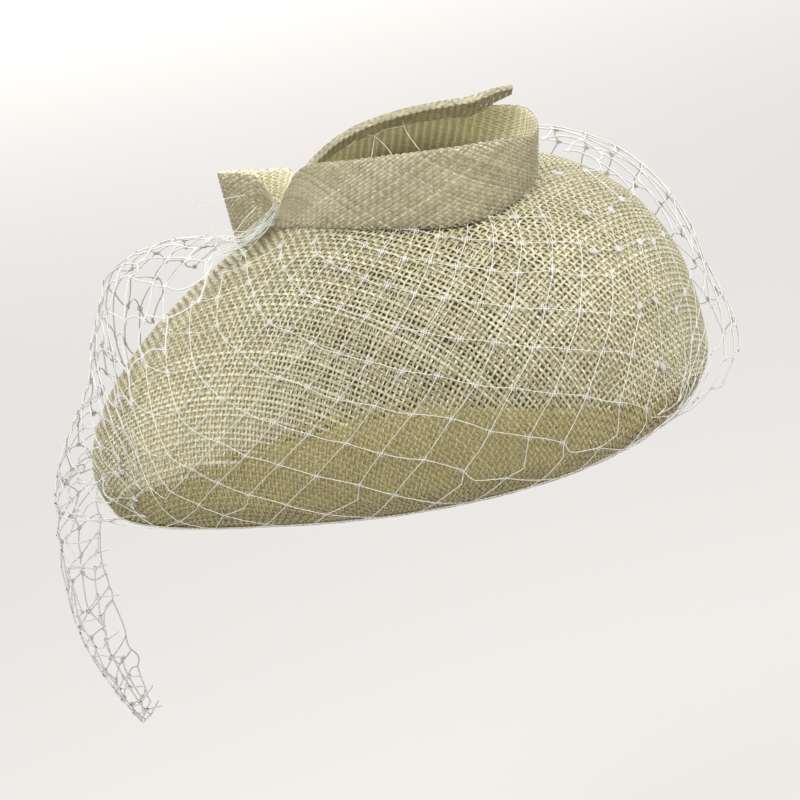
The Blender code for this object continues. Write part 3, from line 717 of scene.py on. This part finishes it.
def tail_place(low, high):
    """Cloth folded over the back of the big loop, open below, with its tip free at the right."""
    lean = unit((low - high)[TAIL_SPAN])
    lift = np.interp(np.linspace(0, 1, len(lean)), [0, 0.55, 1], TAIL_LIFT)
    ridge = np.vstack([high[TAIL_SPAN] - lean * lift[:, None], millimetres(TAIL_TIP)])
    lean = np.vstack([lean, np.repeat(lean[-1:], len(TAIL_TIP), axis=0)])
    reach = np.concatenate([lift + np.linspace(*TAIL_REACH, len(lift)), TIP_REACH])
    half = np.concatenate([np.full(len(lift), TAIL_HALF), TAIL_HALF * np.array(TIP_HALF)])
    side = unit(np.cross(np.gradient(ridge, axis=0), lean))
    run = run_along(ridge)
    girth = TAIL_GIRTH
    cosine, sine = math.cos(BOW_LEAN), math.sin(BOW_LEAN)

    def place(u, v, height):
        a, b = (u - v) * cosine + run[-1] / 2, (u + v) * sine
        beyond = (a < -TRIM) | (a > run[-1] + TRIM) | (np.abs(b) > girth + TRIM)
        a, b = np.clip(a, 0, run[-1]), np.clip(b, -girth, girth)
        wide, deep = np.interp(a, run, half), np.interp(a, run, reach)
        walk = np.abs(b) / girth * (wide + deep)
        across = np.clip(walk / wide, 0, 1)
        down = np.maximum(walk - wide, 0) + wide * 0.35 * across**2
        sign = np.sign(b)
        top, sideways, fold = (read_along(table, run, a) for table in (ridge, side, lean))
        out = sideways * (sign * across)[..., None] - fold * np.sqrt(1 - across**2)[..., None]
        point = top + sideways * (sign * across * wide)[..., None] + fold * down[..., None]
        point = point + out * (height - 0.0002)[..., None]
        point[beyond] = np.nan
        return point, None

    return place, run[-1] / 4 / cosine + girth / 2 / sine


def make_bow(tree):
    low, high = band_lines(BIG_BOTTOM, BIG_TOP, 40, tree)
    make_band("big_loop", low, high, 1.0)
    place, reach = tail_place(low, high)
    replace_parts(straws("loop_tail_straw", place, reach, TAIL, [bow_straw])[0], "loop_tail")
    low, high = band_lines(SMALL_BOTTOM, SMALL_TOP, 20, tree)
    make_band("small_loop", low, high, -1.0)


# ---- threads and net

def tube_arrays(paths, radius):
    """Points, faces and UVs of tubes along paths, given as an array of (paths, points, 3)."""
    paths = np.asarray(paths, float)
    count, samples = paths.shape[:2]
    tangent = unit(np.gradient(paths, axis=1))
    outward = paths - np.array([0.0, 0.0, -0.06])
    first = unit(np.cross(tangent, outward))
    second = np.cross(tangent, first)
    turn = np.linspace(0, 2 * math.pi, TUBE_SIDES, endpoint=False)
    ring = first[:, :, None] * np.cos(turn)[:, None] + second[:, :, None] * np.sin(turn)[:, None]
    points = paths[:, :, None] + ring * radius
    index = np.arange(count * samples * TUBE_SIDES).reshape(count, samples, TUBE_SIDES)
    after = np.roll(index, -1, axis=2)
    faces = np.stack([index[:, :-1], after[:, :-1], after[:, 1:], index[:, 1:]], axis=-1)
    uv = np.stack(np.broadcast_arrays(
        np.arange(samples)[None, :, None] * 0.7, np.arange(count)[:, None, None] + turn[None, None, :] / 7
    ), axis=-1)
    return points.reshape(-1, 3), faces.reshape(-1, 4), uv.reshape(-1, 2)


def tube_piece(name, groups, material, body="hat"):
    """One piece from several (paths, radius) groups."""
    points, faces, uvs, start = [], [], [], 0
    for paths, radius in groups:
        made = tube_arrays(paths, radius)
        points.append(made[0])
        faces.append(made[1] + start)
        uvs.append(made[2])
        start += len(made[0])
    piece = mesh_object(name, np.vstack(points), np.vstack(faces), np.vstack(uvs), material, body)
    return piece


def veil_surface(theta, share):
    """Net surface: share runs 0 near the bow to 1 at the edge. It lies on the crown but for the lobes."""
    theta, share = np.broadcast_arrays(np.asarray(theta, float), np.asarray(share, float))
    fall = HUG_FALL[0] + (HUG_FALL[1] - HUG_FALL[0]) * share
    result = crown(theta, fall, np.full(theta.shape, -NET_CLEAR))
    for lobe, centre, reach in ((LEFT_LOBE, math.pi, 0.75), (RIGHT_LOBE, 0.30, 0.95)):
        profile = smooth_curve(millimetres(lobe), 60)
        where = np.clip(share, 0, 1) * (len(profile) - 1)
        radius = np.interp(where, np.arange(len(profile)), profile[:, 0])
        height = np.interp(where, np.arange(len(profile)), profile[:, 1])
        cosine, sine = np.cos(theta), np.sin(theta)
        depth = HALF_DEPTH / HALF_LENGTH * (1 + EGG * cosine)
        puff = np.stack([radius * cosine, radius * sine * depth, height], axis=-1)
        away = np.abs((theta - centre + math.pi) % (2 * math.pi) - math.pi)
        weight = np.clip(1 - (away / reach) ** 2, 0, 1) ** 1.5
        result = result * (1 - weight[..., None]) + puff * weight[..., None]
    return result


def lift_off(points, tree, clearance):
    """Moves each point that is nearer to the crown than the clearance straight out to it."""
    lifted = points.copy()
    for index in np.ndindex(points.shape[:-1]):
        nearest, normal = tree.find_nearest(Vector(points[index]))[:2]
        if (Vector(points[index]) - nearest).dot(normal) < clearance:
            lifted[index] = nearest + normal * clearance
    return lifted


def drop_surface(across, down):
    """Face veil below the left lobe: across runs -1 to 1 from the near edge, down runs 0 to 1."""
    middle = smooth_curve(millimetres(DROP_MIDDLE), 60)
    where = down * (len(middle) - 1)
    x, y, z = (np.interp(where, np.arange(len(middle)), middle[:, k]) for k in range(3))
    half = DROP_HALF * (1 - DROP_NARROWS[0] * np.maximum(down, 0) ** DROP_NARROWS[1])
    inward = DROP_INWARD[0] * across**2 * (1 - DROP_INWARD[1] * down)
    return np.stack([x + inward, y + across * half, z + DROP_RISE * across**2], axis=-1)


def lattice(place, knots, alive, wobble, bar, samples=9):
    """Strand paths between the knots of a net, and the ladder of short bars that each knot is."""
    paths, bars = [], []
    rows, columns = knots.shape[:2]
    blend = np.linspace(0, 1, samples)[:, None]
    bow = np.sin(blend * math.pi)
    for r in range(rows):
        for c in range(columns):
            if not alive[r, c]:
                continue
            for dr, dc in ((0, 1), (1, 0)):
                if r + dr < rows and c + dc < columns and alive[r + dr, c + dc]:
                    a, b = knots[r, c], knots[r + dr, c + dc]
                    between = a + (b - a) * blend + bow * wobble * rng.standard_normal(2)
                    paths.append(place(between))
            if r < rows - 1 and c < columns - 1:
                a = place(np.array([knots[r, c], knots[r, c + 1], knots[r + 1, c]]))
                way, lean = unit(a[1] - a[0]), unit(a[2] - a[0])
                for k in (-1.5, -0.5, 0.5, 1.5):
                    middle = a[0] + way * k * bar * KNOT_STEP
                    half = (lean + KNOT_SLANT * way) * bar * (KNOT_ENDS if abs(k) > 1 else 1.0) * KNOT_HALF
                    bars.append(np.linspace(middle - half, middle + half, 3))
    return np.array(paths), np.array(bars)


def share_at(theta, lengths):
    """Shares at which the veil surface has run these lengths from share 0, at one angle."""
    share = np.linspace(-0.25, 1, 300)
    line = veil_surface(np.full(300, theta), share)
    run = run_along(line)
    return np.interp(lengths, run - np.interp(0.0, share, run), share)


def net_piece(name, node_name, span, net, tree):
    """A patch of net on the veil surface. It returns the knots at its top, which the gather draws in."""
    start, end = span
    (turn_a, down_a), (turn_b, down_b) = net["steps"]
    top, bottom = net["reach"]
    i, j = np.meshgrid(np.arange(-40, 60), np.arange(-40, 60))
    degrees = net["anchor"][0] + i * turn_a + j * turn_b
    down = net["anchor"][1] + i * down_a + j * down_b
    degrees = degrees + net["jitter"] * abs(turn_a) * rng.standard_normal(degrees.shape)
    down = down + net["jitter"] * abs(down_b) * rng.standard_normal(degrees.shape)
    alive = (degrees >= start) & (degrees <= end) & (down >= top) & (down <= bottom)
    share = share_at(math.radians((start + end) / 2), down)
    knots = np.stack([np.radians(degrees), share], axis=-1)
    rows, columns = np.where(alive.any(axis=1))[0], np.where(alive.any(axis=0))[0]
    window = (slice(rows[0], rows[-1] + 1), slice(columns[0], columns[-1] + 1))

    def place(angles):
        return lift_off(veil_surface(angles[:, 0], angles[:, 1]), tree, NET_CLEAR)

    wobble = np.array([math.radians(net["wobble"]), net["wobble"] / 90])
    paths, bars = lattice(place, knots[window], alive[window], wobble, net["bar"])
    off = np.array([tree.find_nearest(Vector(path[len(path) // 2]))[3] for path in paths])
    free, lying = paths[off > NET_FREE], paths[off <= NET_FREE]
    groups = [(free, net["strand"]), (lying, STRAND), (bars, net["strand"] * KNOT_SHARE)]
    piece = tube_piece(name, [group for group in groups if len(group[0])], net["thread"])
    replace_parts(piece, node_name)
    first = alive & ~np.roll(alive, 1, axis=0)
    return place(knots[first & (down < top + NET_CREST)])


def twisted(path, radius, turns):
    """Two plies twisted round each other along a path."""
    along = unit(np.gradient(path, axis=0))
    first = unit(np.cross(along, (0.37, 0.61, 0.7)))
    second = np.cross(along, first)
    angle = np.linspace(0, 2 * math.pi * turns, len(path))[:, None]
    return np.array([
        path + (first * np.cos(angle + p) + second * np.sin(angle + p)) * radius / 2 for p in (0, math.pi)
    ])


FRONT_NET = dict(
    steps=((6.3, 0.0052), (-6.0, 0.0092)), anchor=(265.0, 0.0440), reach=(-0.022, 0.104),
    jitter=0.05, wobble=0.12, bar=0.0018, strand=0.00012, thread=front_thread,
)
LEFT_NET = dict(
    steps=((5.6, 0.0040), (-4.2, 0.0075)), anchor=(180.0, 0.0500), reach=(0.0, 0.128),
    jitter=0.18, wobble=0.9, bar=0.0016, strand=0.00027, thread=net_thread,
)
RIGHT_NET = dict(
    steps=((6.0, 0.0056), (-5.0, 0.0086)), anchor=(20.0 + 360, 0.0500), reach=(0.0, 0.112),
    jitter=0.12, wobble=0.7, bar=0.0018, strand=0.00029, thread=net_thread,
)


def make_veil(tree):
    front = net_piece("veil_front_net", "veil_front", (206, 326), FRONT_NET, tree)
    left = net_piece("veil_left_net", "veil_left_lobe", (146, 214), LEFT_NET, tree)
    net_piece("veil_right_net", "veil_right_lobe", (318, 420), RIGHT_NET, tree)
    make_drop()
    make_gather(tree, left, front[front[:, 0] < GATHER_RIGHT])


def make_drop():
    rows, columns = DROP_CELLS
    across, down = np.meshgrid(np.linspace(-1, 1, columns), np.linspace(0, 1, rows + 1))
    across = across + np.where(np.arange(rows + 1)[:, None] % 2, 0.10, -0.10) * (np.abs(across) < 0.99)
    across = across + 0.06 * rng.standard_normal(across.shape) * (np.abs(across) < 0.99)
    down = np.clip(down + 0.02 * rng.standard_normal(down.shape) * (down > 0), 0, 1)
    knots = np.stack([across, down], axis=-1)
    alive = np.ones(across.shape, bool)

    def place(spots):
        return drop_surface(spots[:, 0], spots[:, 1])

    paths, bars = lattice(place, knots, alive, np.array([0.03, 0.01]), 0.0014)
    stubs = []
    for row in range(2, rows + 1):
        root = place(knots[row, :1])[0]
        tip = root + (rng.uniform(0.003, 0.008), rng.uniform(-0.001, 0.001), rng.uniform(-0.001, 0.006))
        stubs.append(np.linspace(root, tip, 6))
    groups = [(paths, DROP_STRAND), (bars, DROP_STRAND), (np.array(stubs), DROP_STRAND)]
    piece = tube_piece("veil_drop_net", groups, net_thread, "face_veil")
    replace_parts(piece, "veil_drop")
    top = drop_surface(knots[0, :, 0], knots[0, :, 1])
    bridges = []
    for spot in top:
        theta = math.atan2(spot[1] / HALF_DEPTH * HALF_LENGTH / (1 - EGG), spot[0]) % (2 * math.pi)
        up = veil_surface(np.array([theta]), np.array([0.96]))[0]
        bridges.append(smooth_curve(np.array([up, (up + spot) / 2 + (-0.0006, 0, 0), spot]), 10))
    piece = tube_piece("veil_hinge_net", [(np.array(bridges), DROP_STRAND)], net_thread, None)
    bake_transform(piece)


def drawn_in(start, place, pull):
    return millimetres(place) * pull + start * (1 - pull)


def make_gather(tree, left, front):
    """Strands that draw the net together under the bow, the sewn neck, loose loops and stray ends."""
    x, y, z = GATHER
    ends = []
    starts = [np.repeat(knots, strands, axis=0) for knots, strands in zip((left, front), GATHER_STRANDS)]
    for start in np.concatenate(starts):
        neck = np.array([x, y, z + 0.002]) + rng.normal(0, 0.0006, 3)
        pinch = millimetres(PINCH) + rng.normal(0, 1, 3) * PINCH_SPREAD
        shoulder = drawn_in(start, SHOULDER_OF_VEIL, SHOULDER_PULL) + rng.normal(0, 0.0010, 3)
        elbow = drawn_in(start, ELBOW_OF_VEIL, ELBOW_PULL) + rng.normal(0, 0.0010, 3)
        line = smooth_curve(np.array([start, elbow, shoulder, pinch, neck]), 28)
        ends.append(lift_off(line, tree, NET_CLEAR))
    bundle = []
    for _ in range(NECK_STRANDS):
        angle = rng.uniform(0, 2 * math.pi)
        spread = rng.uniform(0.2, 1.0) * NECK_SPREAD
        wide = spread * NECK_FLARE
        foot = np.array([x + spread * math.cos(angle), y + spread * math.sin(angle), z + NECK_LEVELS[0]])
        top = np.array([x + wide * math.cos(angle + 1), y + wide * math.sin(angle + 1), z + NECK_LEVELS[1]])
        middle = (foot + top) / 2 - np.array([spread * math.cos(angle), 0, 0]) * 0.5
        bundle.append(smooth_curve(np.array([foot, middle, top]), 16))
    loops = []
    for _ in range(LOOSE_LOOPS):
        turn = np.linspace(-0.4, math.pi + 0.6, 16)
        size = rng.uniform(*LOOP_SIZE)
        yaw = rng.uniform(0, 2 * math.pi)
        flat = size * np.cos(turn)
        loops.append(np.stack([
            x + flat * math.cos(yaw) + rng.normal(0, LOOP_SCATTER),
            y + flat * math.sin(yaw) + rng.normal(0, LOOP_SCATTER),
            z + 0.002 + size * 1.5 * np.sin(turn),
        ], axis=-1))
    strays = [smooth_curve(millimetres(points), 16) for points in STRAYS]
    groups = [(np.array(paths), STRAND) for paths in (ends, bundle, loops + strays)]
    piece = tube_piece("veil_gather_net", groups, front_thread)
    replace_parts(piece, "veil_gather")
    turn = np.linspace(0, 3 * 2 * math.pi, 90)
    rise = GATHER_PITCH * turn / (2 * math.pi)
    path = np.stack([x + GATHER_RADIUS * np.cos(turn), y + GATHER_RADIUS * np.sin(turn), z + rise], axis=1)
    plies = twisted(path, GATHER_TWIST, 26)
    piece = tube_piece("gather_thread_plies", [(plies, GATHER_PLY)], sewing_thread)
    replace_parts(piece, "gather_thread")


# ---- edge, ribbon and comb

def make_binding():
    """Bias cloth folded round the edge wire: a ply in painted light, lifting the shade under the edge, with
    fine straws over it.
    """
    theta = np.linspace(0, 2 * math.pi, 241)
    over_crown = [crown(theta, fall, np.full_like(theta, -GAP)) for fall in (1.80, 1.90)]
    profile = np.stack(over_crown + [edge_ring(theta, inset, height) for inset, height in BINDING_FOLDS])
    # The ply takes the pale inside straw: painted light where the edge faces down into shade.
    ply = cloth_sheet("binding_lit_ply", profile[:, :-1], BINDING_PLY, painted_light_straw, closed=True)
    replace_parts(ply, "rim_binding")
    fine = np.stack([smooth_curve(profile[:, k], 25) for k in range(profile.shape[1])], axis=1)
    down, along = np.gradient(fine, axis=0), np.gradient(fine, axis=1)
    outward = unit(np.cross(down, along))
    if (outward[0] * fine[0]).sum(axis=-1).mean() < 0:
        outward = -outward
    length = np.linalg.norm(np.diff(fine[0], axis=0), axis=1).sum()
    girth = np.linalg.norm(np.diff(fine[:, 0], axis=0), axis=1).sum()
    cosine = math.sqrt(0.5)

    def place(u, v, height):
        a = ((u - v) * cosine / length + 0.5) * (fine.shape[1] - 1)
        b = ((u + v) * cosine / girth + 0.5) * (fine.shape[0] - 1)
        inside = (a >= 0) & (a <= fine.shape[1] - 1) & (b >= 0) & (b <= fine.shape[0] - 1)
        i = np.clip(a.astype(int), 0, fine.shape[1] - 2)
        j = np.clip(b.astype(int), 0, fine.shape[0] - 2)
        fa, fb = (a - i)[..., None], (b - j)[..., None]

        def read(table):
            near = table[j, i] * (1 - fa) + table[j, i + 1] * fa
            far = table[j + 1, i] * (1 - fa) + table[j + 1, i + 1] * fa
            return near * (1 - fb) + far * fb

        point = read(fine) + read(outward) * (height + 0.0002)[..., None]
        point[~inside] = np.nan
        return point, None

    straws("binding_straw", place, (length + girth) / 2 * cosine, BINDING, [straw], 2)


def make_ribbon():
    """Ribbed petersham with its fine scalloped edges, sewn inside the edge."""
    theta = np.linspace(0, 2 * math.pi, 4001)
    inset, step = RIBBON_INSET + RIBBON_CLOTH / 2, 0.001
    ring = edge_ring(theta, inset, 0.0)
    run = run_along(ring)
    ribs = int(run[-1] / RIB_PITCH)
    theta = np.interp(np.linspace(0, run[-1], 4 * ribs, endpoint=False), run, theta)
    rib = np.cos(np.arange(4 * ribs) * math.pi / 2)
    rows = []
    for share in RIBBON_ROWS:
        edge = min(share, 1 - share)
        relief = RIB_RELIEF * rib * (1 if edge > 0.01 else 0.4)
        scallop = SCALLOP * rib * (1 if share > 0.5 else -1) * (1 if edge < 0.01 else 0)
        base = edge_ring(theta, inset, RIBBON_BOTTOM + RIBBON_HEIGHT * share)
        wave = edge_ring(theta, inset + step, 0.0)[:, :2] - base[:, :2]
        base[:, :2] += wave / step * relief[:, None]
        base[:, 2] += scallop
        rows.append(base)
    piece = cloth_sheet("head_ribbon_petersham", rows, PETERSHAM, ribbon_cloth, closed=True)
    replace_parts(piece, "head_ribbon")


def make_stitches():
    theta = np.linspace(0, math.pi, 400)
    for number, steps in enumerate(COMB_LOOPS, 1):
        x = COMB_AXIS[0] + steps * TOOTH_PITCH
        ring = edge_ring(theta, RIBBON_INSET + RIBBON_CLOTH, COMB_AXIS[2])
        low = COMB_AXIS[1] - COMB_SPINE / 2 - STITCH_LOOSE
        high = ring[np.argmin(abs(ring[:, 0] - x)), 1] - GAP - STITCH_RADIUS
        turn = np.linspace(0, 2 * math.pi, 90)
        y = (low + high) / 2 + (high - low) / 2 * np.cos(turn)
        path = np.stack([x + 0.0004 * np.sin(turn / 2), y, COMB_AXIS[2] + STITCH_RISE * np.sin(turn)], axis=1)
        plies = twisted(path, STITCH_RADIUS * 0.95, 14)
        groups = [(plies, STITCH_RADIUS * 0.5)]
        piece = tube_piece(f"comb_stitch_plies_{number}", groups, sewing_thread)
        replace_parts(piece, f"comb_stitch_{number}")


def finish_cad_nodes():
    """Materials for the nodes that stay, and soft edges on the moulded comb."""
    for name, mat in (("rim_wire", wire_steel), ("wire_joiner", wire_steel), ("comb", comb_plastic)):
        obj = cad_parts[name]
        obj.data.materials.clear()
        obj.data.materials.append(mat)
    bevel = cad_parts["comb"].modifiers.new("soft edges", "BEVEL")
    bevel.width = 0.00035
    bevel.segments = 3
    bevel.limit_method = "ANGLE"


# ---- floor, light and camera

def make_floor():
    corner = [(x * FLOOR_HALF, y * FLOOR_HALF, FLOOR_LEVEL) for x, y in ((-1, -1), (1, -1), (1, 1), (-1, 1))]
    floor = mesh_object("floor", corner, [[0, 1, 2, 3]], None, floor_paint, body=None, smooth=False)


def area_light(name, location, size, energy, target=(0, 0, 0.03)):
    lamp = bpy.data.lights.new(name, "AREA")
    lamp.energy, lamp.size = energy, size
    obj = scene_object(name, lamp)
    obj.location = location
    obj.rotation_euler = (Vector(target) - Vector(location)).to_track_quat("-Z", "Y").to_euler()


def make_light():
    world = bpy.data.worlds.new("studio")
    world.use_nodes = True
    background = world.node_tree.nodes["Background"]
    background.inputs["Color"].default_value = (1.0, 0.995, 0.985, 1)
    background.inputs["Strength"].default_value = 0.46
    bpy.context.scene.world = world
    bpy.context.scene.view_settings.view_transform = "Standard"
    area_light("key", (-0.35, -0.80, 1.10), size=0.42, energy=4.5)
    area_light("right", (0.95, -0.45, 0.85), size=0.45, energy=9.0)
    area_light("top", (0.12, -0.38, 1.35), size=0.6, energy=10.0)
    area_light("left", (-1.1, -0.25, 0.75), size=0.4, energy=5.0)
    area_light("back_floor", (0.0, 3.7, 1.5), size=2.6, energy=88.0, target=(0.0, 3.5, -0.3))


def make_camera():
    back = Vector((0, -math.cos(VIEW_ELEVATION), math.sin(VIEW_ELEVATION)))
    level = Vector((1, 0, 0))
    above = back.cross(level)
    right = math.cos(VIEW_ROLL) * level - math.sin(VIEW_ROLL) * above
    up = math.sin(VIEW_ROLL) * level + math.cos(VIEW_ROLL) * above
    centre = VIEW_TARGET + VIEW_OFFSET[0] * right + VIEW_OFFSET[1] * up
    camera = bpy.data.cameras.new("camera")
    camera.lens = camera.sensor_width * VIEW_DISTANCE / VIEW_WIDTH
    obj = scene_object("camera", camera)
    turn = Matrix((right, up, back)).transposed().to_4x4()
    obj.matrix_world = Matrix.Translation(centre + back * VIEW_DISTANCE) @ turn
    bpy.context.scene.camera = obj


def main():
    tree = surface_tree()
    make_camera()
    make_crown()
    make_bow(tree)
    make_veil(tree)
    make_binding()
    make_ribbon()
    make_stitches()
    finish_cad_nodes()
    make_floor()
    make_light()


main()
